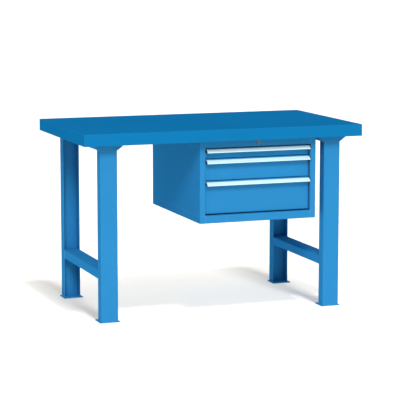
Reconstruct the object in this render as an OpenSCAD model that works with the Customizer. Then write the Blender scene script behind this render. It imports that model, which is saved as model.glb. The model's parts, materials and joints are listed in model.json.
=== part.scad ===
// Steel workbench with a hanging cabinet of three drawers.
// X runs to the right, Y to the back, Z up. The origin is on the floor, under the middle of the worktop.

/* [Worktop] */
// Width of the worktop
top_w = 1350; // [1250:10:1900]
// Depth of the worktop
top_d = 765; // [755:5:900]
// Height of the working face above the floor
work_h = 865; // [780:5:1000]
// Thickness of the worktop
top_t = 55; // [40:1:70]
// Thickness of the steel skin of the worktop
skin_t = 2; // [1.5:0.5:3]
// Width of the lip that the skin folds under the board
skin_lip = 22; // [15:1:24]

/* [Leg frames] */
// Distance from the end of the worktop to the outer face of a leg
end_overhang = 89; // [70:1:110]
// Distance from the front of the worktop to the front of the legs and of the cabinet
front_overhang = 55; // [50:1:60]
// Distance from the back of the worktop to the back of the legs
back_overhang = 45; // [35:1:60]
// Width of a leg post
post_w = 80; // [70:1:90]
// Depth of a leg post
post_d = 50; // [40:1:60]
// Thickness of the leg steel
leg_t = 2.5; // [2:0.5:3]
// Drop of the top beam below the worktop
beam_drop = 28; // [20:1:32]
// Width of the flare on each side of the top beam
beam_flare = 41; // [25:1:41]
// Height of the underside of the stretcher
stretcher_z = 195; // [100:5:300]
// Height of the stretcher section
stretcher_h = 40; // [30:1:60]
// Width of a foot plate
plate_w = 94; // [90:1:110]
// Length of a foot plate
plate_l = 78; // [75:1:100]
// Thickness of a foot plate
plate_t = 4; // [3:0.5:8]
// Radius of the floor anchor hole in each foot plate
anchor_r = 5.5; // [4:0.5:6]

/* [Cabinet] */
// Width of the cabinet
cab_w = 575; // [500:5:600]
// Depth of the cabinet
cab_d = 675; // [670:5:680]
// Gap between the cabinet and the right leg
cab_gap = 43; // [42:1:80]
// Thickness of the cabinet steel
cab_t = 1.5; // [1:0.5:2]
// Width of the front stiles
stile_w = 27; // [26:1:28]
// Height of the bottom rail
rail_h = 36; // [30:0.5:60]
// Height of the header above the drawers
header_h = 35.5; // [34:0.5:45]

/* [Drawers] */
// Height of the top drawer front
top_front_h = 47; // [47:1:70]
// Height of the middle drawer front
middle_front_h = 99; // [80:1:110]
// Height of the bottom drawer front
bottom_front_h = 152; // [100:1:160]
// Gap between drawer fronts
front_gap = 3; // [2:0.5:4]
// Gap under the bottom drawer front
bottom_gap = 5.5; // [3:0.5:8]
// Distance that the drawer fronts sit back inside the cabinet
front_recess = 16; // [8:1:16]
// Depth of the folded drawer fronts
front_d = 18; // [16:1:20]
// Thickness of the drawer steel
drawer_t = 1.2; // [1:0.1:1.5]
// Length of a drawer tray
tray_l = 590; // [580:5:590]
// How far a handle stands proud of its drawer front
handle_d = 30; // [24:1:36]
// Height of a handle
handle_h = 15; // [12:1:20]

/* [Slides] */
// Length of a slide rail
slide_l = 580; // [500:5:580]
// Height of the outer slide rail
slide_h = 36; // [34:1:36]

/* [Lock] */
// Radius of the lock bezel
bezel_r = 12.5; // [11:0.5:14]
// Radius of the lock barrel
barrel_r = 9.5; // [8:0.5:10]
// Radius of the plug that the key turns
plug_r = 6; // [5:0.5:7]
// Radius of the drive shaft
shaft_r = 4; // [3:0.5:4.5]
// Throw of the lock crank
crank_r = 8; // [7:0.5:8]

/* [Hidden] */
$fn = 48;
eps = 0.5;

// Worktop levels
under_z = work_h - top_t;
core_z = under_z + skin_t;

// Leg frame places
leg_x = top_w / 2 - end_overhang - post_w / 2;
leg_y0 = -top_d / 2 + front_overhang;
leg_y1 = top_d / 2 - back_overhang;
beam_z = under_z - beam_drop;
beam_top_w = post_w + 2 * beam_flare;
plate_step = 3;
anchor_inset = 62;
leg_bolt_r = 5;
leg_bolt_l = 30;
leg_bolt_inset = 130;
leg_bolt_ys = [leg_y0 + leg_bolt_inset, (leg_y0 + leg_y1) / 2, leg_y1 - leg_bolt_inset];
washer_t = 1.6;
washer_ratio = 2.1;
head_ratio = 1.3;
flats_ratio = 3.3;
bolt_slack = 0.1;
hole_spare = 5;

// Cabinet box
cab_h = rail_h + bottom_gap + bottom_front_h + middle_front_h + top_front_h + 3 * front_gap + header_h;
cab_x = leg_x - post_w / 2 - cab_gap - cab_w;
cab_y = leg_y0;
cab_z = core_z - cab_h;
header_z = cab_h - header_h;
stile_return = 20;
header_d = 28;
upright_w = 30;
upright_ys = [30, 560];
cab_bolt_r = 4;
cab_bolt_l = 25;
cab_bolt_xs = [90, cab_w - 90];
cab_bolt_ys = [110, 520];

// Drawer levels, measured from the underside of the cabinet
bottom_z = rail_h + bottom_gap;
middle_z = bottom_z + bottom_front_h + front_gap;
top_z = middle_z + middle_front_h + front_gap;
front_side_gap = 2.5;
front_w = cab_w - 2 * (stile_w + front_side_gap);
front_flange = 14;
tray_y = front_recess + front_d;
tray_lift = 3;
tray_drop = 5;

// Handle section, measured down from its top edge and forward of the drawer front
cap_t = 3;
handle_inset = 4.5;
handle_wall = 2;
handle_root = 16;
handle_lip = 3;

// Slide sections, measured from the outer face of the cabinet side
slide_t = 1.2;
slide_tuck = 1;
slide_back = 4;
slide_x = stile_w - slide_tuck;
slide_y = tray_y + slide_back;
slide_lift = 3;
slide_w = 13.5;
outer_w = 10;
middle_w = 9;
play = 1.2;
tray_x = slide_x + slide_w;
tray_w = cab_w - 2 * tray_x;

// Screws of the drawer fronts
screw_r = 2;
screw_tip = 3;
screw_head_r = 3.6;
screw_head_h = 2;
screw_inset = 60;
screw_rise = 10;

// Lock places, measured from the front left lower corner of the cabinet
lock_x = cab_w / 2;
lock_rise = 17;
lock_z = header_z + lock_rise;
bezel_t = 2.5;
barrel_l = 28;
plug_proud = 0.5;
plug_l = 30;
keyway_w = 1.6;
keyway_h = 7;
keyway_l = 20;
nut_flats = 24;
nut_h = 5;
running = 0.05;

// Crank on the back end of the drive shaft
crank_y = 644;
crank_t = 4;
crank_hub_r = 7;
crank_tip_r = 5;
crank_web_h = 9;
pin_r = 2.5;
pin_spare = 1;

// Bracket that carries the back end of the shaft
bracket_y = 600;
bracket_t = 2;
bracket_w = 28;
bracket_drop = 9;
bracket_l = 20;

// Bar behind the trays, its hooks and its guides
bar_w = 30;
bar_t = 3;
bar_y = 652;
bar_z0 = 60;
bar_above = 12;
bar_z1 = lock_z + bar_above;
slot_side = 3;
slot_below = 4.6;
slot_above = 2.9;
hook_w = 12;
hook_h = 12;
hook_t = 3;
hook_y = 634;
hook_gap = 2;
guide_w = 48;
guide_h = 12;
guide_t = 3;
guide_slack = 0.3;
guide_rise = 100;
guide_drop = 68;
guide_zs = [rail_h + guide_rise, header_z - guide_drop];

// Catch on the back of a tray, measured up from the tray's floor
catch_w = 20;
catch_t = 1.5;
catch_y = 641.5;
catch_low = 5;
catch_high = 25;
catch_rise = 33;

// Moves its children from the cabinet's own corner to their place under the worktop
module in_cabinet() {
    translate([cab_x, cab_y, cab_z]) children();
}

// Box between two opposite corners
module span(a, b) {
    low = [for (i = [0:2]) min(a[i], b[i])];
    high = [for (i = [0:2]) max(a[i], b[i])];
    translate(low) cube(high - low);
}

// Cylinder along Y, from y0 to y1
module rod_y(x, y0, y1, z, r) {
    translate([x, y0, z]) rotate([-90, 0, 0]) cylinder(r = r, h = y1 - y0);
}

// Hexagonal prism along Z with the given width across its flats
module hex_head(flats, h) {
    cylinder(r = flats / sqrt(3), h = h, $fn = 6);
}

// Washer, hexagon head and shank of a bolt that points up, with its washer face at z = 0
module bolt_up(r, shank_l) {
    head_h = head_ratio * r;
    translate([0, 0, -washer_t - head_h]) hex_head(flats_ratio * r, head_h);
    translate([0, 0, -washer_t]) cylinder(r = washer_ratio * r, h = washer_t);
    translate([0, 0, -washer_t]) cylinder(r = r - bolt_slack, h = washer_t + shank_l);
}

// Worktop

// Box of the worktop's outline moved in by inset, from z0 to z1
module worktop_box(inset, z0, z1) {
    x = top_w / 2 - inset;
    y = top_d / 2 - inset;
    span([-x, -y, z0], [x, y, z1]);
}

module worktop_skin() {
    color("#0f6fae") difference() {
        worktop_box(0, under_z, work_h);
        worktop_box(skin_t, core_z, work_h - skin_t);
        worktop_box(skin_lip, under_z - eps, core_z + eps);
    }
}

module worktop_core() {
    color("#b99a6b") difference() {
        worktop_box(skin_t, core_z, work_h - skin_t);
        for (side = [-1, 1], y = leg_bolt_ys) translate([side * leg_x, y, core_z - eps])
            cylinder(r = leg_bolt_r, h = leg_bolt_l + hole_spare + eps);
        in_cabinet() for (x = cab_bolt_xs, y = cab_bolt_ys) translate([x, y, cab_h - eps])
            cylinder(r = cab_bolt_r, h = cab_bolt_l + hole_spare + eps);
    }
}

// Leg frames

// Outline of the flared beam, moved in by the thickness of its walls. One that is moved in runs past the top.
module beam_outline(wall) {
    rise = core_z - beam_z;
    lean = beam_flare / rise;
    slant = wall * sqrt(1 + pow(lean, 2));
    over = wall > 0 ? 1 : 0;
    low_x = post_w / 2 - slant + wall * lean;
    high_x = beam_top_w / 2 - slant + over * lean;
    polygon([[-low_x, wall], [low_x, wall], [high_x, rise + over], [-high_x, rise + over]]);
}

// Length of the flared beam from y0 to y1
module beam_run(y0, y1) {
    translate([0, y1, beam_z]) rotate([90, 0, 0]) linear_extrude(y1 - y0) children();
}

module top_beam(side) {
    color("#2f86c8") translate([side * leg_x, 0, 0]) difference() {
        beam_run(leg_y0, leg_y1) beam_outline(0);
        beam_run(leg_y0 + leg_t, leg_y1 - leg_t) beam_outline(leg_t);
        for (y = leg_bolt_ys)
            translate([0, y, beam_z - eps]) cylinder(r = leg_bolt_r, h = leg_t + 2 * eps);
    }
}

// Channel that stands on a foot plate, with its closed face towards facing (-1 front, 1 back)
module post(side, facing) {
    closed_y = facing < 0 ? leg_y0 : leg_y1;
    open_y = closed_y - facing * post_d;
    inner_x = post_w / 2 - leg_t;
    color("#3a94da") translate([side * leg_x, 0, 0]) difference() {
        span([-post_w / 2, closed_y, plate_t], [post_w / 2, open_y, beam_z]);
        span([-inner_x, closed_y - facing * leg_t, plate_t - eps],
            [inner_x, open_y - facing * eps, beam_z + eps]);
    }
}

// Channel that joins the two posts inside their open faces, closed on top
module stretcher(side) {
    outer_x = post_w / 2 - leg_t;
    inner_x = outer_x - leg_t;
    color("#3a94da") translate([side * leg_x, 0, stretcher_z]) difference() {
        span([-outer_x, leg_y0 + leg_t, 0], [outer_x, leg_y1 - leg_t, stretcher_h]);
        span([-inner_x, leg_y0, -eps], [inner_x, leg_y1, stretcher_h - leg_t]);
    }
}

module foot(side, facing) {
    edge_y = facing < 0 ? leg_y0 - plate_step : leg_y1 + plate_step;
    color("#2f86c8") translate([side * leg_x, edge_y, 0]) difference() {
        span([-plate_w / 2, 0, 0], [plate_w / 2, -facing * plate_l, plate_t]);
        translate([0, -facing * anchor_inset, -eps]) cylinder(r = anchor_r, h = plate_t + 2 * eps);
    }
}

module left_top_beam() { top_beam(-1); }
module right_top_beam() { top_beam(1); }
module left_front_post() { post(-1, -1); }
module left_rear_post() { post(-1, 1); }
module right_front_post() { post(1, -1); }
module right_rear_post() { post(1, 1); }
module left_stretcher() { stretcher(-1); }
module right_stretcher() { stretcher(1); }
module left_front_foot() { foot(-1, -1); }
module left_rear_foot() { foot(-1, 1); }
module right_front_foot() { foot(1, -1); }
module right_rear_foot() { foot(1, 1); }

module leg_bolts() {
    color("#c8ccd0") for (side = [-1, 1], y = leg_bolt_ys)
        translate([side * leg_x, y, beam_z]) bolt_up(leg_bolt_r, core_z - beam_z + leg_bolt_l);
}

// Cabinet shell

module cabinet_side() {
    color("#2f86c8") in_cabinet() {
        span([0, 0, 0], [cab_t, cab_d, cab_h]);
        span([0, 0, 0], [stile_w, cab_t, cab_h]);
        span([stile_w - cab_t, 0, rail_h], [stile_w, stile_return, header_z]);
    }
}

module cabinet_left_side() { cabinet_side(); }

module cabinet_right_side() {
    translate([2 * cab_x + cab_w, 0, 0]) mirror([1, 0, 0]) cabinet_side();
}

module cabinet_back() {
    color("#2f86c8") in_cabinet() span([cab_t, cab_d - cab_t, 0], [cab_w - cab_t, cab_d, cab_h]);
}

module cabinet_bottom() {
    color("#2f86c8") in_cabinet() {
        span([cab_t, cab_t, 0], [cab_w - cab_t, cab_d - cab_t, cab_t]);
        span([stile_w, 0, 0], [cab_w - stile_w, cab_t, rail_h]);
        span([stile_w, 0, rail_h - cab_t], [cab_w - stile_w, tray_y, rail_h]);
    }
}

module cabinet_top() {
    color("#2f86c8") in_cabinet() difference() {
        span([cab_t, header_d, cab_h - cab_t], [cab_w - cab_t, cab_d - cab_t, cab_h]);
        for (x = cab_bolt_xs, y = cab_bolt_ys)
            translate([x, y, cab_h - cab_t - eps]) cylinder(r = cab_bolt_r, h = cab_t + 2 * eps);
    }
}

module cabinet_header() {
    color("#2f86c8") in_cabinet() difference() {
        span([stile_w, 0, header_z], [cab_w - stile_w, header_d, cab_h]);
        span([stile_w - eps, cab_t, header_z + cab_t],
            [cab_w - stile_w + eps, header_d + eps, cab_h - cab_t]);
        rod_y(lock_x, -eps, cab_t + eps, lock_z, barrel_r + running);
    }
}

module cabinet_bolts() {
    color("#c8ccd0") in_cabinet() for (x = cab_bolt_xs, y = cab_bolt_ys)
        translate([x, y, cab_h - cab_t]) bolt_up(cab_bolt_r, cab_t + cab_bolt_l);
}

// Pair of channels that carry the outer rails, standing on the cabinet side
module slide_uprights() {
    color("#9aa3ab") in_cabinet() for (y = upright_ys) difference() {
        span([cab_t, y, cab_t], [slide_x, y + upright_w, cab_h - cab_t]);
        span([cab_t - eps, y + cab_t, 0], [slide_x - cab_t, y + upright_w - cab_t, cab_h]);
    }
}

module left_slide_uprights() { slide_uprights(); }

module right_slide_uprights() {
    translate([2 * cab_x + cab_w, 0, 0]) mirror([1, 0, 0]) slide_uprights();
}

// Lock

module lock_barrel() {
    color("#b9bec4") in_cabinet() difference() {
        union() {
            rod_y(lock_x, -bezel_t, 0, lock_z, bezel_r);
            rod_y(lock_x, 0, barrel_l, lock_z, barrel_r);
        }
        rod_y(lock_x, -bezel_t - eps, barrel_l + eps, lock_z, plug_r + running);
    }
}

module lock_nut() {
    color("#9aa3ab") in_cabinet() difference() {
        translate([lock_x, cab_t, lock_z]) rotate([-90, 30, 0]) hex_head(nut_flats, nut_h);
        rod_y(lock_x, cab_t - eps, cab_t + nut_h + eps, lock_z, barrel_r);
    }
}

module lock_plug() {
    face_y = -bezel_t - plug_proud;
    color("#d6dade") in_cabinet() difference() {
        rod_y(lock_x, face_y, plug_l, lock_z, plug_r);
        span([lock_x - keyway_w / 2, face_y - eps, lock_z - keyway_h / 2],
            [lock_x + keyway_w / 2, keyway_l, lock_z + keyway_h / 2]);
    }
}

module lock_shaft() {
    color("#9aa3ab") in_cabinet() rod_y(lock_x, plug_l, crank_y, lock_z, shaft_r);
}

module lock_crank() {
    pin_x = lock_x + crank_r;
    color("#9aa3ab") in_cabinet() {
        rod_y(lock_x, crank_y, crank_y + crank_t, lock_z, crank_hub_r);
        rod_y(pin_x, crank_y, crank_y + crank_t, lock_z, crank_tip_r);
        span([lock_x, crank_y, lock_z - crank_web_h / 2],
            [pin_x, crank_y + crank_t, lock_z + crank_web_h / 2]);
        rod_y(pin_x, crank_y + crank_t, bar_y + bar_t + pin_spare, lock_z, pin_r);
    }
}

module shaft_bracket() {
    x0 = lock_x - bracket_w / 2;
    x1 = lock_x + bracket_w / 2;
    ceiling_z = cab_h - cab_t;
    color("#9aa3ab") in_cabinet() difference() {
        union() {
            span([x0, bracket_y, lock_z - bracket_drop], [x1, bracket_y + bracket_t, ceiling_z]);
            span([x0, bracket_y, ceiling_z - bracket_t], [x1, bracket_y + bracket_l, ceiling_z]);
        }
        rod_y(lock_x, bracket_y - eps, bracket_y + bracket_t + eps, lock_z, shaft_r + running);
    }
}

module lock_bar() {
    color("#9aa3ab") in_cabinet() difference() {
        span([lock_x - bar_w / 2, bar_y, bar_z0], [lock_x + bar_w / 2, bar_y + bar_t, bar_z1]);
        span([lock_x - slot_side, bar_y - eps, lock_z - slot_below],
            [lock_x + crank_r + slot_side, bar_y + bar_t + eps, lock_z + slot_above]);
    }
}

// Hook in front of the bar, above the catch of the drawer whose tray floor is at z
module bar_hook(z) {
    tip_z = z + catch_rise + hook_gap;
    x0 = lock_x - hook_w / 2;
    x1 = lock_x + hook_w / 2;
    span([x0, hook_y, tip_z], [x1, hook_y + hook_t, tip_z + hook_h]);
    span([x0, hook_y, tip_z + hook_h - hook_t], [x1, bar_y, tip_z + hook_h]);
}

module lock_bar_hooks() {
    color("#9aa3ab") in_cabinet() for (z = [bottom_z, middle_z, top_z]) bar_hook(z + tray_lift);
}

module lock_bar_guides() {
    inner_x = bar_w / 2 + guide_slack;
    color("#9aa3ab") in_cabinet() translate([lock_x, 0, 0]) for (z = guide_zs) difference() {
        span([-guide_w / 2, bar_y - guide_t, z], [guide_w / 2, cab_d - cab_t, z + guide_h]);
        span([-inner_x, bar_y - guide_slack, z - eps],
            [inner_x, bar_y + bar_t + guide_slack, z + guide_h + eps]);
    }
}

// Drawers. Each module takes the level of the drawer front and its height.

// Places of the four screws that hold a front to its tray
function screw_places(z, h) = [
    for (x = [tray_x + screw_inset, cab_w - tray_x - screw_inset], dz = [screw_rise, h - screw_rise])
        [x, z + dz]
];

module tray(z, h) {
    back_y = tray_y + tray_l;
    floor_z = z + tray_lift;
    rim_z = z + h - tray_drop;
    color("#3f95d8") in_cabinet() difference() {
        span([tray_x, tray_y, floor_z], [tray_x + tray_w, back_y, rim_z]);
        span([tray_x + drawer_t, tray_y + drawer_t, floor_z + drawer_t],
            [tray_x + tray_w - drawer_t, back_y - drawer_t, rim_z + eps]);
        for (p = screw_places(z, h))
            rod_y(p[0], tray_y - eps, tray_y + drawer_t + eps, p[1], screw_r);
    }
}

module drawer_front(z, h) {
    x0 = stile_w + front_side_gap;
    x1 = x0 + front_w;
    color("#3f95d8") in_cabinet() difference() {
        span([x0, front_recess, z], [x1, tray_y, z + h]);
        span([x0 + drawer_t, front_recess + drawer_t, z + drawer_t],
            [x1 - drawer_t, tray_y - drawer_t, z + h - drawer_t]);
        span([x0 + front_flange, front_recess + drawer_t, z + front_flange],
            [x1 - front_flange, tray_y + eps, z + h - front_flange]);
        for (p = screw_places(z, h))
            rod_y(p[0], tray_y - drawer_t - eps, tray_y + eps, p[1], screw_r);
    }
}

// Outline that leans out to a vertical lip, open at depth: Y forward, Z down from the top edge
module handle_shape(depth) {
    polygon([[0, 0], [handle_root, 0], [handle_d, handle_lip - handle_h], [handle_d, -depth], [0, -depth]]);
}

// Handle section: a wall along the outline, open below
module handle_outline() {
    difference() {
        handle_shape(handle_h);
        offset(delta = -handle_wall) handle_shape(handle_h + 2 * handle_wall);
    }
}

// Length of handle section from x0 to x1, on the drawer front whose top edge is at top
module handle_run(x0, x1, top) {
    translate([x0, front_recess, top - handle_inset]) rotate([90, 0, 90]) mirror([1, 0, 0])
        linear_extrude(x1 - x0) children();
}

module handle(z, h) {
    x0 = stile_w + front_side_gap;
    color("#e8eef2") in_cabinet()
        handle_run(x0 + cap_t, x0 + front_w - cap_t, z + h) handle_outline();
}

module handle_caps(z, h) {
    x0 = stile_w + front_side_gap;
    color("#3a3e42") in_cabinet() for (x = [x0, x0 + front_w - cap_t])
        handle_run(x, x + cap_t, z + h) handle_shape(handle_h);
}

module front_screws(z, h) {
    seat_y = tray_y + drawer_t;
    color("#c8ccd0") in_cabinet() for (p = screw_places(z, h)) {
        rod_y(p[0], tray_y - drawer_t - screw_tip, seat_y, p[1], screw_r - bolt_slack);
        rod_y(p[0], seat_y, seat_y + screw_head_h, p[1], screw_head_r);
    }
}

// Bracket on the back of a tray, with the upright tab that the lock bar hooks over
module lock_catch(z) {
    back_y = tray_y + tray_l;
    tab_y = catch_y + catch_t;
    x0 = lock_x - catch_w / 2;
    x1 = lock_x + catch_w / 2;
    color("#c8ccd0") in_cabinet() translate([0, 0, z + tray_lift]) {
        span([x0, back_y, catch_low], [x1, back_y + catch_t, catch_high]);
        span([x0, back_y, catch_high - catch_t], [x1, tab_y, catch_high]);
        span([x0, catch_y, catch_high - catch_t], [x1, tab_y, catch_rise]);
    }
}

// Channel of a slide: back face at x0, open edge at x1, inset from the outer rail's height
module slide_channel(x0, x1, z, inset) {
    low = z + tray_lift + slide_lift + inset;
    high = z + tray_lift + slide_lift + slide_h - inset;
    wall = x1 > x0 ? slide_t : -slide_t;
    difference() {
        span([x0, slide_y, low], [x1, slide_y + slide_l, high]);
        span([x0 + wall, slide_y - eps, low + slide_t],
            [x1 + wall, slide_y + slide_l + eps, high - slide_t]);
    }
}

// Draws its children on the left side of the cabinet and mirrored on the right side
module both_sides() {
    in_cabinet() {
        children();
        translate([cab_w, 0, 0]) mirror([1, 0, 0]) children();
    }
}

module outer_rails(z) {
    color("#b9bec4") both_sides() slide_channel(slide_x, slide_x + outer_w, z, 0);
}

module middle_rails(z) {
    step = slide_t + play;
    color("#c8ccd0") both_sides() slide_channel(slide_x + step, slide_x + step + middle_w, z, step);
}

module inner_rails(z) {
    step = slide_t + play;
    color("#b9bec4") both_sides() slide_channel(tray_x, slide_x + 2 * step, z, 2 * step);
}

module top_tray() { tray(top_z, top_front_h); }
module top_front() { drawer_front(top_z, top_front_h); }
module top_handle() { handle(top_z, top_front_h); }
module top_handle_caps() { handle_caps(top_z, top_front_h); }
module top_inner_rails() { inner_rails(top_z); }
module top_middle_rails() { middle_rails(top_z); }
module top_outer_rails() { outer_rails(top_z); }
module top_catch() { lock_catch(top_z); }
module top_screws() { front_screws(top_z, top_front_h); }

module middle_tray() { tray(middle_z, middle_front_h); }
module middle_front() { drawer_front(middle_z, middle_front_h); }
module middle_handle() { handle(middle_z, middle_front_h); }
module middle_handle_caps() { handle_caps(middle_z, middle_front_h); }
module middle_inner_rails() { inner_rails(middle_z); }
module middle_middle_rails() { middle_rails(middle_z); }
module middle_outer_rails() { outer_rails(middle_z); }
module middle_catch() { lock_catch(middle_z); }
module middle_screws() { front_screws(middle_z, middle_front_h); }

module bottom_tray() { tray(bottom_z, bottom_front_h); }
module bottom_front() { drawer_front(bottom_z, bottom_front_h); }
module bottom_handle() { handle(bottom_z, bottom_front_h); }
module bottom_handle_caps() { handle_caps(bottom_z, bottom_front_h); }
module bottom_inner_rails() { inner_rails(bottom_z); }
module bottom_middle_rails() { middle_rails(bottom_z); }
module bottom_outer_rails() { outer_rails(bottom_z); }
module bottom_catch() { lock_catch(bottom_z); }
module bottom_screws() { front_screws(bottom_z, bottom_front_h); }

worktop_skin();
worktop_core();
left_top_beam();
left_front_post();
left_rear_post();
left_stretcher();
left_front_foot();
left_rear_foot();
right_top_beam();
right_front_post();
right_rear_post();
right_stretcher();
right_front_foot();
right_rear_foot();
leg_bolts();
cabinet_left_side();
cabinet_right_side();
cabinet_back();
cabinet_bottom();
cabinet_top();
cabinet_header();
cabinet_bolts();
left_slide_uprights();
right_slide_uprights();
lock_barrel();
lock_nut();
lock_plug();
lock_shaft();
lock_crank();
shaft_bracket();
lock_bar();
lock_bar_hooks();
lock_bar_guides();
top_tray();
top_front();
top_handle();
top_handle_caps();
top_inner_rails();
top_middle_rails();
top_outer_rails();
top_catch();
top_screws();
middle_tray();
middle_front();
middle_handle();
middle_handle_caps();
middle_inner_rails();
middle_middle_rails();
middle_outer_rails();
middle_catch();
middle_screws();
bottom_tray();
bottom_front();
bottom_handle();
bottom_handle_caps();
bottom_inner_rails();
bottom_middle_rails();
bottom_outer_rails();
bottom_catch();
bottom_screws();
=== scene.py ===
"""Workbench with drawers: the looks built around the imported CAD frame. Lengths are in metres."""

import json
import math

import bmesh
import bpy
from mathutils import Matrix, Vector
from mathutils.geometry import tessellate_polygon


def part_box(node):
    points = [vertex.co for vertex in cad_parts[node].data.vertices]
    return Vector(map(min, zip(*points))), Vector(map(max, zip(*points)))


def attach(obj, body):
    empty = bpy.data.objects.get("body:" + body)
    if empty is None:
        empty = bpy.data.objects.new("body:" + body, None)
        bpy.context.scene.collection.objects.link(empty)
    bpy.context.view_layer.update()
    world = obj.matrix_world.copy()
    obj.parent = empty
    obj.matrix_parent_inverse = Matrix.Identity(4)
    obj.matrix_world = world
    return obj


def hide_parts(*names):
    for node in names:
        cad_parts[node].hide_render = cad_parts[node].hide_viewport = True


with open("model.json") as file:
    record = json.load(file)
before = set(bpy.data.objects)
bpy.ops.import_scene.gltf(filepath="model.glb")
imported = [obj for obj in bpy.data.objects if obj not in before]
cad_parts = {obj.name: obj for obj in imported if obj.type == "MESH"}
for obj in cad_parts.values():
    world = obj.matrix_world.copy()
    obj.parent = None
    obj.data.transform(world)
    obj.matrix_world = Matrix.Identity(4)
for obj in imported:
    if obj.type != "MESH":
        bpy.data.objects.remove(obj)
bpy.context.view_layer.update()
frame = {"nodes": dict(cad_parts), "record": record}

nodes = frame["nodes"]
record = frame["record"]
bodies = record["behaviour"]["bodies"]
slots = {part["node"]: part["material_slot"] for part in record["subparts"]}
replaced = set()

drawers = ("top", "middle", "bottom")
sides = ("left", "right")
ends = ("front", "rear")

# Sheet thicknesses, the outer radii of their bends, and the widths of their flanges
skin_sheet, skin_bend, skin_corner = 0.002, 0.0025, 0.005
leg_sheet, leg_bend = 0.0025, 0.004
cabinet_sheet, cabinet_bend = 0.0015, 0.0025
front_sheet, front_bend, front_corner = 0.0012, 0.0025, 0.0025
skin_lip = 0.022
front_flange = 0.014
stile_width = 0.027
stile_return = 0.020
bend_steps = 6
smallest_corner = 0.0002

# Edge softening
fine_edge = 0.0003
sheet_edge = 0.0004
plate_edge = 0.0008
bevel_angle = math.radians(35)
bevel_steps = 2
weld_gap = 1e-6

# Weld beads
bead_radius = 0.0016
bead_tip = 0.5
bead_pitch = 0.0012
bead_ripple = 0.16
bead_sides = 8


# ---------------------------------------------------------------- frame helpers


def body_of(node):
    """The CAD body that a node rides on."""
    return next(body for body, members in bodies.items() if node in members)


def add_mesh(name, mesh_data):
    """A new object in the scene that holds a finished bmesh, with smooth faces and sharp corners."""
    bmesh.ops.recalc_face_normals(mesh_data, faces=mesh_data.faces)
    for face in mesh_data.faces:
        face.smooth = True
    for edge in mesh_data.edges:
        edge.smooth = edge.is_manifold and edge.calc_face_angle(0) < bevel_angle
    mesh = bpy.data.meshes.new(name)
    mesh_data.to_mesh(mesh)
    mesh_data.free()
    piece = bpy.data.objects.new(name, mesh)
    bpy.context.scene.collection.objects.link(piece)
    return piece


def stand_for(piece, node):
    """Makes a piece take the place of a CAD node: its body, its slot and its finish."""
    piece.data.materials.append(finishes[slots[node]])
    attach(piece, body_of(node))
    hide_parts(node)
    replaced.add(node)


def soften_edges(piece, width):
    """Rounds the sharp edges of a piece by a small width and keeps its flat faces flat."""
    bevel = piece.modifiers.new("edge_round", "BEVEL")
    bevel.width = width
    bevel.segments = bevel_steps
    bevel.limit_method = "ANGLE"
    bevel.angle_limit = bevel_angle
    bevel.use_clamp_overlap = True
    normals = piece.modifiers.new("flat_normals", "WEIGHTED_NORMAL")
    normals.keep_sharp = True
    normals.weight = 100


# ---------------------------------------------------------------- materials

# Noise scales count features per metre. Edge radii and bump distances are in metres.

sheen_tint = (0.05, 0.45, 1.0, 1.0)
worktop_blue = (0.005, 0.155, 0.373)
frame_blue = (0.024, 0.214, 0.474)
cap_grey = (0.030, 0.036, 0.042)


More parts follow.
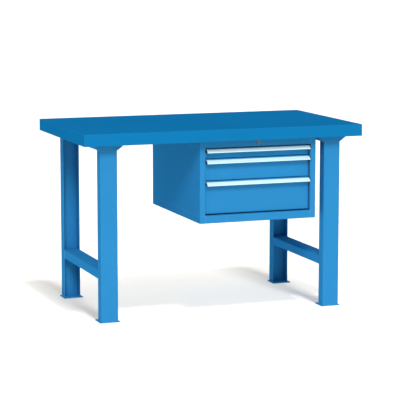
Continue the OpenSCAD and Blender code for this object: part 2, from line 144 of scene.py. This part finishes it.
class Finish:
    """A node material under construction. Its patterns lie in the piece's own frame, in metres."""

    def __init__(self, name, **constants):
        self.material = bpy.data.materials.new(name)
        self.material.use_nodes = True
        self.tree = self.material.node_tree
        self.shader = self.tree.nodes["Principled BSDF"]
        self.place = self.tree.nodes.new("ShaderNodeTexCoord").outputs["Object"]
        for socket, value in constants.items():
            self.shader.inputs[socket.replace("_", " ")].default_value = value

    def node(self, kind, inputs=None, **settings):
        made = self.tree.nodes.new(kind)
        for key, value in settings.items():
            setattr(made, key, value)
        for socket, value in (inputs or {}).items():
            if isinstance(value, bpy.types.NodeSocket):
                self.tree.links.new(value, made.inputs[socket])
            else:
                made.inputs[socket].default_value = value
        return made

    def feed(self, socket, source):
        self.tree.links.new(source, self.shader.inputs[socket])

    def stretched(self, scale, centre=(0, 0, 0)):
        """The position moved so that centre is the origin, then scaled along each axis."""
        moved = self.node("ShaderNodeVectorMath", {0: self.place, 1: centre}, operation="SUBTRACT")
        made = self.node("ShaderNodeVectorMath", {0: moved.outputs[0], 1: scale}, operation="MULTIPLY")
        return made.outputs[0]

    def noise(self, scale, detail=2.0, vector=None):
        inputs = {"Vector": vector or self.place, "Scale": scale, "Detail": detail}
        return self.node("ShaderNodeTexNoise", inputs).outputs["Fac"]

    def cells(self, scale):
        made = self.node("ShaderNodeTexVoronoi", {"Vector": self.place, "Scale": scale})
        return made.outputs["Distance"]

    def remap(self, source, low, high, start=0.3, end=0.7):
        """The source's stretch from start to end, brought to the range from low to high.

        The stretch is by default the one that a noise mostly keeps to."""
        inputs = {"Value": source, "From Min": start, "From Max": end, "To Min": low, "To Max": high}
        return self.node("ShaderNodeMapRange", inputs).outputs["Result"]

    def math(self, operation, first, second):
        return self.node("ShaderNodeMath", {0: first, 1: second}, operation=operation).outputs[0]

    def mix(self, factor, first, second):
        """The first colour where factor is 0 and the second where it is 1."""
        made = self.node("ShaderNodeMix", data_type="RGBA")
        for socket, value in ((0, factor), (6, first), (7, second)):
            if isinstance(value, bpy.types.NodeSocket):
                self.tree.links.new(value, made.inputs[socket])
            else:
                made.inputs[socket].default_value = value
        return made.outputs[2]

    def edges(self, radius):
        """1 on edges and corners within radius, 0 on flat ground."""
        rounded = self.node("ShaderNodeBevel", {"Radius": radius}, samples=6).outputs["Normal"]
        flat = self.node("ShaderNodeNewGeometry").outputs["Normal"]
        along = self.node("ShaderNodeVectorMath", {0: rounded, 1: flat}, operation="DOT_PRODUCT")
        return self.remap(along.outputs["Value"], 1.0, 0.0, start=0.80, end=0.995)

    def bump(self, height, strength, distance):
        inputs = {"Height": height, "Strength": strength, "Distance": distance}
        self.feed("Normal", self.node("ShaderNodeBump", inputs).outputs["Normal"])


def shade(colour, factor):
    """The colour made lighter or darker by factor, as a node socket wants it."""
    return (*(min(1.0, channel * factor) for channel in colour), 1.0)


def powder_coat(name, colour, sheen, roughness, edge_wear_and_highlight):
    """Powder paint with a faint metallic sheen, orange peel, a slow drift of shade, and paler edges that
    are partly thin paint and partly a painted highlight.
    """
    paint = Finish(name, Specular_IOR_Level=0.0, Metallic=sheen, Specular_Tint=sheen_tint)
    drift = paint.noise(3.1, detail=3)
    grain = paint.noise(420, detail=2)
    patches = paint.noise(55, detail=4)
    body = paint.mix(paint.remap(drift, 0, 1), shade(colour, 0.965), shade(colour, 1.035))
    body = paint.mix(paint.remap(grain, 0, 0.25), body, shade(colour, 0.82))
    spread = paint.remap(patches, 0.25, 1.0, start=0.35, end=0.6)
    # Edge mask for the paler edges, which are partly wear and partly a painted highlight
    pale_edges = paint.math("MULTIPLY", paint.edges(0.0030), spread)
    pale_edges = paint.math("MULTIPLY", pale_edges, edge_wear_and_highlight)
    # Paler edges: thin paint lets some of the pale primer under it through, and the same paler colour is
    # a painted highlight along the edges
    pale_primer_and_highlight = (0.16 + 0.84 * colour[0], 0.2 + 0.8 * colour[1], 0.24 + 0.76 * colour[2], 1)
    paint.feed("Base Color", paint.mix(pale_edges, body, pale_primer_and_highlight))
    rough = paint.remap(drift, roughness - 0.03, roughness + 0.03)
    rough = paint.math("ADD", rough, paint.remap(grain, -0.04, 0.04))
    paint.feed("Roughness", paint.math("SUBTRACT", rough, paint.math("MULTIPLY", pale_edges, 0.25)))
    peel = paint.math("ADD", paint.noise(330, detail=1), paint.math("MULTIPLY", grain, 0.3))
    paint.bump(peel, 0.16, 0.0002)
    return paint.material


def anodised_extrusion(name):
    """Anodised aluminium with the fine lines of the die along its length, its silver tinted cyan as a
    painted reflection of the blue paint round it.
    """
    metal = Finish(name, Metallic=0.3, Specular_IOR_Level=0.2)
    lines = metal.noise(1.0, detail=4, vector=metal.stretched((6, 2600, 2600)))
    cloud = metal.noise(9, detail=3)
    pale_edges = metal.math("MULTIPLY", metal.edges(0.0010), 0.5)
    # The cyan in these two tones is a painted reflection of the blue paint round the handles
    tone = metal.mix(metal.remap(lines, 0, 1), (0.60, 0.83, 0.88, 1), (0.68, 0.87, 0.92, 1))
    metal.feed("Base Color", metal.mix(pale_edges, tone, (0.98, 0.98, 0.98, 1)))
    rough = metal.remap(lines, 0.38, 0.50)
    metal.feed("Roughness", metal.math("ADD", rough, metal.remap(cloud, -0.03, 0.03)))
    metal.bump(lines, 0.10, 0.00008)
    return metal.material


def zinc_plate(name, drawn_along=None):
    """Blue-white zinc on steel. Rolled parts show streaks along them, and loose hardware a mottle."""
    metal = Finish(name, Metallic=1.0)
    if drawn_along:
        pattern = metal.noise(1.0, detail=3, vector=metal.stretched(drawn_along))
    else:
        pattern = metal.cells(260)
    cloud = metal.noise(38, detail=4)
    tone = metal.mix(metal.remap(pattern, 0, 1), (0.54, 0.57, 0.62, 1), (0.72, 0.74, 0.77, 1))
    tone = metal.mix(metal.remap(cloud, 0, 0.3), tone, (0.70, 0.68, 0.60, 1))
    pale_edges = metal.math("MULTIPLY", metal.edges(0.0008), 0.6)
    metal.feed("Base Color", metal.mix(pale_edges, tone, (0.86, 0.87, 0.88, 1)))
    rough = metal.remap(pattern, 0.30, 0.42)
    metal.feed("Roughness", metal.math("ADD", rough, metal.remap(cloud, -0.05, 0.05)))
    metal.bump(pattern, 0.15, 0.0001)
    return metal.material


def nickel_plate(name, axis_node):
    """Nickel on turned brass: fine rings round the lock's axis, a tone painted dark blue as a painted
    reflection of the shaded paint round it, and a painted highlight on the rims.
    """
    low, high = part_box(axis_node)
    axis = (low + high) / 2
    metal = Finish(name, Metallic=1.0)
    across = metal.stretched((1, 0, 1), centre=(axis.x, 0, axis.z))
    radius = metal.node("ShaderNodeVectorMath", {0: across}, operation="LENGTH").outputs["Value"]
    inputs = {"W": radius, "Scale": 5200, "Detail": 2}
    rings = metal.node("ShaderNodeTexNoise", inputs, noise_dimensions="1D").outputs["Fac"]
    smudge = metal.noise(120, detail=3)
    # The dark blue tone is a painted reflection of the shaded blue paint round the lock
    tone = metal.mix(metal.remap(smudge, 0, 1), (0.045, 0.11, 0.17, 1), (0.075, 0.16, 0.23, 1))
    pale_edges = metal.math("MULTIPLY", metal.edges(0.0006), 0.6)
    # The paler rims are a painted highlight
    metal.feed("Base Color", metal.mix(pale_edges, tone, (0.28, 0.38, 0.46, 1)))
    rough = metal.remap(rings, 0.16, 0.28)
    metal.feed("Roughness", metal.math("ADD", rough, metal.remap(smudge, 0, 0.08)))
    metal.bump(rings, 0.12, 0.00005)
    return metal.material


def film_board_and_painted_shade(name):
    """Board under a dark phenolic film, made near-black as painted shade under the worktop: the mesh of
    the press, cloudy resin, and paler rubbed edges.
    """
    board = Finish(name, Specular_IOR_Level=0.3)
    inputs = {"Vector": board.place, "Scale": 420, "Randomness": 0.15}
    mesh = board.node("ShaderNodeTexVoronoi", inputs, distance="CHEBYCHEV").outputs["Distance"]
    resin = board.noise(24, detail=4)
    # The near-black tone is partly the film's own colour and partly painted shade under the worktop
    tone = board.mix(board.remap(resin, 0, 1), (0.030, 0.020, 0.016, 1), (0.055, 0.036, 0.026, 1))
    rubbed = board.math("MULTIPLY", board.edges(0.0015), 0.5)
    board.feed("Base Color", board.mix(rubbed, tone, (0.22, 0.14, 0.08, 1)))
    board.feed("Roughness", board.math("ADD", board.remap(resin, 0.42, 0.58), board.remap(mesh, 0, 0.1)))
    board.bump(mesh, 0.3, 0.0003)
    return board.material


def moulded_plastic(name, colour):
    """Spark-eroded plastic: a fine even grain, a little paler where edges rub."""
    plastic = Finish(name, Specular_IOR_Level=0.45)
    texture = plastic.noise(1500, detail=2)
    cloud = plastic.noise(60, detail=2)
    tone = plastic.mix(plastic.remap(cloud, 0, 1), shade(colour, 0.93), shade(colour, 1.05))
    pale_edges = plastic.math("MULTIPLY", plastic.edges(0.0008), 0.4)
    plastic.feed("Base Color", plastic.mix(pale_edges, tone, shade(colour, 1.35)))
    plastic.feed("Roughness", plastic.remap(texture, 0.42, 0.58))
    plastic.bump(texture, 0.25, 0.0001)
    return plastic.material


finishes = {
    # The edge amounts are highest on the worktop and the drawer fronts, where the paler edges also paint
    # the highlights along them
    "worktop_paint": powder_coat("worktop_paint", worktop_blue, sheen=0.10, roughness=0.46, edge_wear_and_highlight=0.8),
    "frame_paint": powder_coat("frame_paint", frame_blue, sheen=0.16, roughness=0.44, edge_wear_and_highlight=0.4),
    "cabinet_paint": powder_coat("cabinet_paint", frame_blue, sheen=0.16, roughness=0.42, edge_wear_and_highlight=0.6),
    "front_paint": powder_coat("front_paint", frame_blue, sheen=0.16, roughness=0.40, edge_wear_and_highlight=0.8),
    "drawer_paint": powder_coat("drawer_paint", frame_blue, sheen=0.14, roughness=0.48, edge_wear_and_highlight=0.3),
    "board": film_board_and_painted_shade("board"),
    "zinc_steel": zinc_plate("zinc_steel"),
    "slide_steel": zinc_plate("slide_steel", drawn_along=(900, 4, 900)),
    "handle_aluminium": anodised_extrusion("handle_aluminium"),
    "cap_plastic": moulded_plastic("cap_plastic", cap_grey),
    "lock_metal": nickel_plate("lock_metal", "lock_barrel"),
}


# ---------------------------------------------------------------- sheet metal shapes


def rounded_outline(corners):
    """Points of a closed outline. Each corner is (u, v, radius), and one with a radius becomes an arc."""
    outline = []
    for index, (u, v, radius) in enumerate(corners):
        corner = Vector((u, v))
        if radius <= 0:
            outline.append(corner)
            continue
        before = (Vector(corners[index - 1][:2]) - corner).normalized()
        after = (Vector(corners[(index + 1) % len(corners)][:2]) - corner).normalized()
        half = before.angle(after) / 2
        centre = corner + (before + after).normalized() * (radius / math.sin(half))
        start = corner + before * (radius / math.tan(half)) - centre
        finish = corner + after * (radius / math.tan(half)) - centre
        turn = start.angle_signed(finish)
        for step in range(bend_steps + 1):
            outline.append(centre + Matrix.Rotation(-turn * step / bend_steps, 2) @ start)
    return outline


def rectangle(low_u, low_v, high_u, high_v, radius):
    """Rounded rectangle, always with the same number of points."""
    radius = max(radius, smallest_corner)
    return rounded_outline([(low_u, low_v, radius), (high_u, low_v, radius),
                            (high_u, high_v, radius), (low_u, high_v, radius)])


def join_rings(mesh_data, near, far):
    """Adds walls between two rings of the same number of corners."""
    count = len(near)
    for i in range(count):
        after = (i + 1) % count
        mesh_data.faces.new((near[i], near[after], far[after], far[i]))


def extrude(mesh_data, outline, start, end, place):
    """Adds a closed outline swept from start to end. place(u, v, w) gives a corner's position."""
    near = [mesh_data.verts.new(place(u, v, start)) for u, v in outline]
    far = [mesh_data.verts.new(place(u, v, end)) for u, v in outline]
    join_rings(mesh_data, near, far)
    triangles = tessellate_polygon([[Vector((u, v, 0)) for u, v in outline]])
    for cap in (near, far):
        for triangle in triangles:
            mesh_data.faces.new([cap[i] for i in triangle])


def loft(mesh_data, rings):
    """Joins rings of the same number of points by walls, and fills the first and the last."""
    made = [[mesh_data.verts.new(point) for point in ring] for ring in rings]
    for near, far in zip(made, made[1:]):
        join_rings(mesh_data, near, far)
    mesh_data.faces.new(made[0])
    mesh_data.faces.new(made[-1])


def channel(width, depth, sheet, bend):
    """Outline of a folded channel, centred on u. Its web is at v = 0 and its flanges end at v = depth."""
    outer = width / 2
    inner = outer - sheet
    return rounded_outline([(-outer, depth, 0), (-outer, 0, bend), (outer, 0, bend), (outer, depth, 0),
                            (inner, depth, 0), (inner, sheet, bend - sheet),
                            (-inner, sheet, bend - sheet), (-inner, depth, 0)])


def pan(name, size_u, size_v, depth, sheet, bend, corner, flange, place):
    """A folded tray of sheet metal: face at w = 0, walls back to depth, and a flange turned in all round.

    place(u, v, w) gives a point's position, with u from 0 to size_u and v from 0 to size_v."""

    def ring(inset, w):
        points = rectangle(inset, inset, size_u - inset, size_v - inset, corner - inset)
        return [place(u, v, w) for u, v in points]

    def arc(inset, w, radius, start, end):
        """Rings round a bend whose centre is at inset and w, from start to end in degrees."""
        for step in range(bend_steps + 1):
            angle = math.radians(start + (end - start) * step / bend_steps)
            yield ring(inset - radius * math.cos(angle), w - radius * math.sin(angle))

    back_bend = depth - bend
    inside = bend - sheet
    outer = [*arc(bend, bend, bend, 90, 0), *arc(bend, back_bend, bend, 0, -90), ring(flange, depth)]
    inner = [ring(flange, depth - sheet), *arc(bend, back_bend, inside, -90, 0),
             *arc(bend, bend, inside, 0, 90)]
    mesh_data = bmesh.new()
    loft(mesh_data, outer + inner)
    piece = add_mesh(name, mesh_data)
    soften_edges(piece, sheet_edge)
    return piece


# ---------------------------------------------------------------- worktop


def worktop_shell():
    low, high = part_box("worktop_skin")
    piece = pan("worktop_shell", high.x - low.x, high.y - low.y, high.z - low.z, skin_sheet, skin_bend,
                skin_corner, skin_lip, lambda u, v, w: Vector((low.x + u, low.y + v, high.z - w)))
    stand_for(piece, "worktop_skin")


# ---------------------------------------------------------------- leg frames


def post(side, end):
    """Folded channel with its closed face to the front or the back of the bench."""
    node = f"{side}_{end}_post"
    low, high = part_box(node)
    middle = (low.x + high.x) / 2
    closed_y, inward = (low.y, 1) if end == "front" else (high.y, -1)
    mesh_data = bmesh.new()
    outline = channel(high.x - low.x, high.y - low.y, leg_sheet, leg_bend)
    extrude(mesh_data, outline, low.z, high.z,
            lambda u, v, w: Vector((middle + u, closed_y + inward * v, w)))
    piece = add_mesh(f"{node}_folded", mesh_data)
    soften_edges(piece, sheet_edge)
    stand_for(piece, node)
    return piece


def stretcher(side):
    """Folded channel between the posts, closed on top."""
    node = f"{side}_stretcher"
    low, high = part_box(node)
    middle = (low.x + high.x) / 2
    mesh_data = bmesh.new()
    outline = channel(high.x - low.x, high.z - low.z, leg_sheet, leg_bend)
    extrude(mesh_data, outline, low.y, high.y, lambda u, v, w: Vector((middle + u, w, high.z - v)))
    piece = add_mesh(f"{node}_folded", mesh_data)
    soften_edges(piece, sheet_edge)
    stand_for(piece, node)
    return piece


def bead(mesh_data, start, end):
    """Adds one straight weld bead, rippled where the weld pool froze."""
    run = end - start
    count = max(2, round(run.length / bead_pitch))
    along = run.normalized()
    across = along.orthogonal().normalized()
    lift = along.cross(across)
    angles = [2 * math.pi * k / bead_sides for k in range(bead_sides)]
    rings = []
    for step in range(count + 1):
        radius = bead_radius * (1 + bead_ripple * math.cos(math.pi * step))
        if step in (0, count):
            radius *= bead_tip
        centre = start + run * (step / count)
        rings.append([centre + radius * (across * math.cos(angle) + lift * math.sin(angle))
                      for angle in angles])
    loft(mesh_data, rings)


def leg_welds(side):
    """Beads where the posts meet their foot plates and the beam, and the stretcher meets the posts."""
    mesh_data = bmesh.new()
    tie_low, tie_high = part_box(f"{side}_stretcher")
    for end in ends:
        low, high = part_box(f"{side}_{end}_post")
        closed_y, open_y = (low.y, high.y) if end == "front" else (high.y, low.y)
        flat_left, flat_right = low.x + leg_bend, high.x - leg_bend
        for x in (low.x, high.x):
            for z in (low.z, high.z):
                bead(mesh_data, Vector((x, low.y + leg_bend, z)), Vector((x, high.y - leg_bend, z)))
        heights = (low.z,) if end == "front" else (high.z, low.z)
        for z in heights:
            bead(mesh_data, Vector((flat_left, closed_y, z)), Vector((flat_right, closed_y, z)))
        for x in (tie_low.x, tie_high.x):
            bead(mesh_data, Vector((x, open_y, tie_low.z)), Vector((x, open_y, tie_high.z - leg_bend)))
    piece = add_mesh(f"{side}_leg_welds", mesh_data)
    piece.data.materials.append(finishes["frame_paint"])
    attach(piece, "root")


# ---------------------------------------------------------------- cabinet


def cabinet_side(side):
    """Side panel folded round the front into a stile. Between the rails the stile turns in again."""
    node = f"cabinet_{side}_side"
    low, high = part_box(node)
    rail_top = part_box("cabinet_bottom")[1].z
    header_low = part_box("cabinet_header")[0].z
    outer_x, inward = (low.x, 1) if side == "left" else (high.x, -1)
    deep = high.y - low.y
    sheet, bend, inner = cabinet_sheet, cabinet_bend, cabinet_bend - cabinet_sheet
    stile_inside = stile_width - sheet
    plain = rounded_outline([(0, deep, 0), (0, 0, bend), (stile_width, 0, 0), (stile_width, sheet, 0),
                             (sheet, sheet, inner), (sheet, deep, 0)])
    turned = rounded_outline([(0, deep, 0), (0, 0, bend), (stile_width, 0, bend),
                              (stile_width, stile_return, 0), (stile_inside, stile_return, 0),
                              (stile_inside, sheet, inner), (sheet, sheet, inner), (sheet, deep, 0)])
    stretches = ((plain, low.z, rail_top), (turned, rail_top, header_low), (plain, header_low, high.z))
    mesh_data = bmesh.new()
    for outline, start, end in stretches:
        extrude(mesh_data, outline, start, end,
                lambda u, v, w: Vector((outer_x + inward * u, low.y + v, w)))
    piece = add_mesh(f"{node}_folded", mesh_data)
    soften_edges(piece, fine_edge)
    stand_for(piece, node)


def cabinet_bottom():
    """Bottom panel folded up into the front rail, whose top edge turns back under the lowest drawer."""
    low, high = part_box("cabinet_bottom")
    header_low, header_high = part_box("cabinet_header")
    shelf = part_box("bottom_front")[1].y - low.y
    sheet, bend, inner = cabinet_sheet, cabinet_bend, cabinet_bend - cabinet_sheet
    deep, tall = high.y - low.y, high.z - low.z
    folded = rounded_outline([(deep, 0, 0), (0, 0, bend), (0, tall, bend), (shelf, tall, 0),
                              (shelf, tall - sheet, 0), (sheet, tall - sheet, inner),
                              (sheet, sheet, inner), (deep, sheet, 0)])
    wing = [Vector(corner) for corner in ((sheet, 0), (deep, 0), (deep, sheet), (sheet, sheet))]
    mesh_data = bmesh.new()
    for outline, start, end in ((folded, header_low.x, header_high.x), (wing, low.x, header_low.x),
                                (wing, header_high.x, high.x)):
        extrude(mesh_data, outline, start, end, lambda u, v, w: Vector((w, low.y + u, low.z + v)))
    piece = add_mesh("cabinet_bottom_folded", mesh_data)
    soften_edges(piece, fine_edge)
    stand_for(piece, "cabinet_bottom")


# ---------------------------------------------------------------- drawers


def drawer_front(drawer):
    """Drawer front folded from one sheet, with a flange turned in all round its back."""
    low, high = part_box(f"{drawer}_front")
    piece = pan(f"{drawer}_front_folded", high.x - low.x, high.z - low.z, high.y - low.y, front_sheet,
                front_bend, front_corner, front_flange,
                lambda u, v, w: Vector((low.x + u, low.y + w, low.z + v)))
    stand_for(piece, f"{drawer}_front")


# ---------------------------------------------------------------- CAD solids that stay


def smooth_group():
    """Geometry nodes that shade a CAD solid smooth except across its sharp edges."""
    group = bpy.data.node_groups.new("smooth_by_angle", "GeometryNodeTree")
    group.interface.new_socket("Geometry", in_out="INPUT", socket_type="NodeSocketGeometry")
    group.interface.new_socket("Geometry", in_out="OUTPUT", socket_type="NodeSocketGeometry")
    group_in = group.nodes.new("NodeGroupInput")
    group_out = group.nodes.new("NodeGroupOutput")
    faces = group.nodes.new("GeometryNodeSetShadeSmooth")
    corners = group.nodes.new("GeometryNodeSetShadeSmooth")
    corners.domain = "EDGE"
    angle = group.nodes.new("GeometryNodeInputMeshEdgeAngle")
    gentle = group.nodes.new("FunctionNodeCompare")
    gentle.operation = "LESS_THAN"
    gentle.inputs["B"].default_value = bevel_angle
    group.links.new(angle.outputs["Unsigned Angle"], gentle.inputs["A"])
    group.links.new(group_in.outputs[0], faces.inputs["Geometry"])
    group.links.new(faces.outputs[0], corners.inputs["Geometry"])
    group.links.new(gentle.outputs["Result"], corners.inputs["Shade Smooth"])
    group.links.new(corners.outputs[0], group_out.inputs[0])
    return group


def finish_cad_node(node, smoothing):
    """Gives a CAD solid its finish and slightly rounded edges."""
    piece = nodes[node]
    for slot in piece.material_slots:
        slot.material = finishes[slots[node]]
    weld = piece.modifiers.new("weld", "WELD")
    weld.merge_threshold = weld_gap
    piece.modifiers.new("smooth", "NODES").node_group = smoothing
    soften_edges(piece, plate_edge if "foot" in node else fine_edge)


# ---------------------------------------------------------------- camera, floor and light

# The place is measured from the floor under the middle of the bench. The turn is to the right of
# straight back, and the pitch is downwards.
camera_place = Vector((-2.7978, -7.6449, 1.6859))
camera_turn = math.radians(20.155)
camera_pitch = math.radians(8.366)
camera_lens = 155.33
camera_sensor = 36.0
floor_reach = 150.0
floor_tones = ((0.80, 0.775, 0.73, 1), (0.82, 0.795, 0.75, 1))


def make_camera():
    data = bpy.data.cameras.new("camera")
    data.lens = camera_lens
    data.sensor_width = camera_sensor
    data.clip_end = 2 * floor_reach
    camera = bpy.data.objects.new("camera", data)
    camera.location = camera_place
    camera.rotation_euler = (math.pi / 2 - camera_pitch, 0, -camera_turn)
    bpy.context.scene.collection.objects.link(camera)
    bpy.context.scene.camera = camera


def make_floor():
    mesh_data = bmesh.new()
    corners = [(-1, -1), (1, -1), (1, 1), (-1, 1)]
    mesh_data.faces.new([mesh_data.verts.new((u * floor_reach, v * floor_reach, 0)) for u, v in corners])
    floor = add_mesh("floor", mesh_data)
    ground = Finish("floor_white", Specular_IOR_Level=0.0, Roughness=0.9)
    ground.feed("Base Color", ground.mix(ground.noise(2.0), *floor_tones))
    floor.data.materials.append(ground.material)
    return floor


def make_sun(name, azimuth, elevation, strength, softness, casts_shadow=True):
    """A sun that shines from azimuth (0 is the front, 90 the right) and elevation, all in degrees.

    A strength of 1 lights a white face that looks straight at the sun to full white."""
    data = bpy.data.lights.new(name, "SUN")
    data.energy = strength * math.pi
    data.angle = math.radians(softness)
    data.use_shadow = casts_shadow
    sun = bpy.data.objects.new(name, data)
    turn, lift = math.radians(azimuth), math.radians(elevation)
    towards = Vector((math.sin(turn) * math.cos(lift), -math.cos(turn) * math.cos(lift), math.sin(lift)))
    sun.rotation_euler = towards.to_track_quat("Z", "Y").to_euler()
    bpy.context.scene.collection.objects.link(sun)
    return sun


def link_floor(sun, floor, state):
    """Makes a sun shine on the floor alone (INCLUDE), or on everything but the floor (EXCLUDE)."""
    group = bpy.data.collections.new(f"{sun.name}_floor")
    group.objects.link(floor)
    group.collection_objects[0].light_linking.link_state = state
    sun.light_linking.receiver_collection = group


def cast_only(sun, pieces):
    """Makes these pieces alone cast a shadow from a sun."""
    group = bpy.data.collections.new(f"{sun.name}_casters")
    for piece in pieces:
        group.objects.link(piece)
    sun.light_linking.blocker_collection = group


def make_world(strength):
    world = bpy.data.worlds.new("studio")
    world.use_nodes = True
    sky = world.node_tree.nodes["Background"]
    sky.inputs["Color"].default_value = (1, 1, 1, 1)
    sky.inputs["Strength"].default_value = strength
    bpy.context.scene.world = world


# ---------------------------------------------------------------- build

make_camera()
floor = make_floor()
make_world(0.50)
key = make_sun("front_key", azimuth=-22, elevation=39, strength=0.85, softness=20)
fill = make_sun("floor_fill", azimuth=0, elevation=90, strength=0.36, softness=10, casts_shadow=False)
high_shade = make_sun("floor_high", azimuth=0, elevation=67, strength=0.27, softness=3)
low_shade = make_sun("floor_low", azimuth=4, elevation=22, strength=1.10, softness=15)
make_sun("overhead", azimuth=-5, elevation=72, strength=0.12, softness=30)
link_floor(key, floor, "EXCLUDE")
for sun in (fill, high_shade, low_shade):
    link_floor(sun, floor, "INCLUDE")
bpy.context.scene.view_settings.view_transform = "Standard"

worktop_shell()
legs = []
for side in sides:
    legs += [*(post(side, end) for end in ends), stretcher(side)]
    leg_welds(side)
    cabinet_side(side)
cast_only(low_shade, legs)
cabinet_bottom()
for drawer in drawers:
    drawer_front(drawer)
smoothing = smooth_group()
for node in nodes:
    if node not in replaced:
        finish_cad_node(node, smoothing)
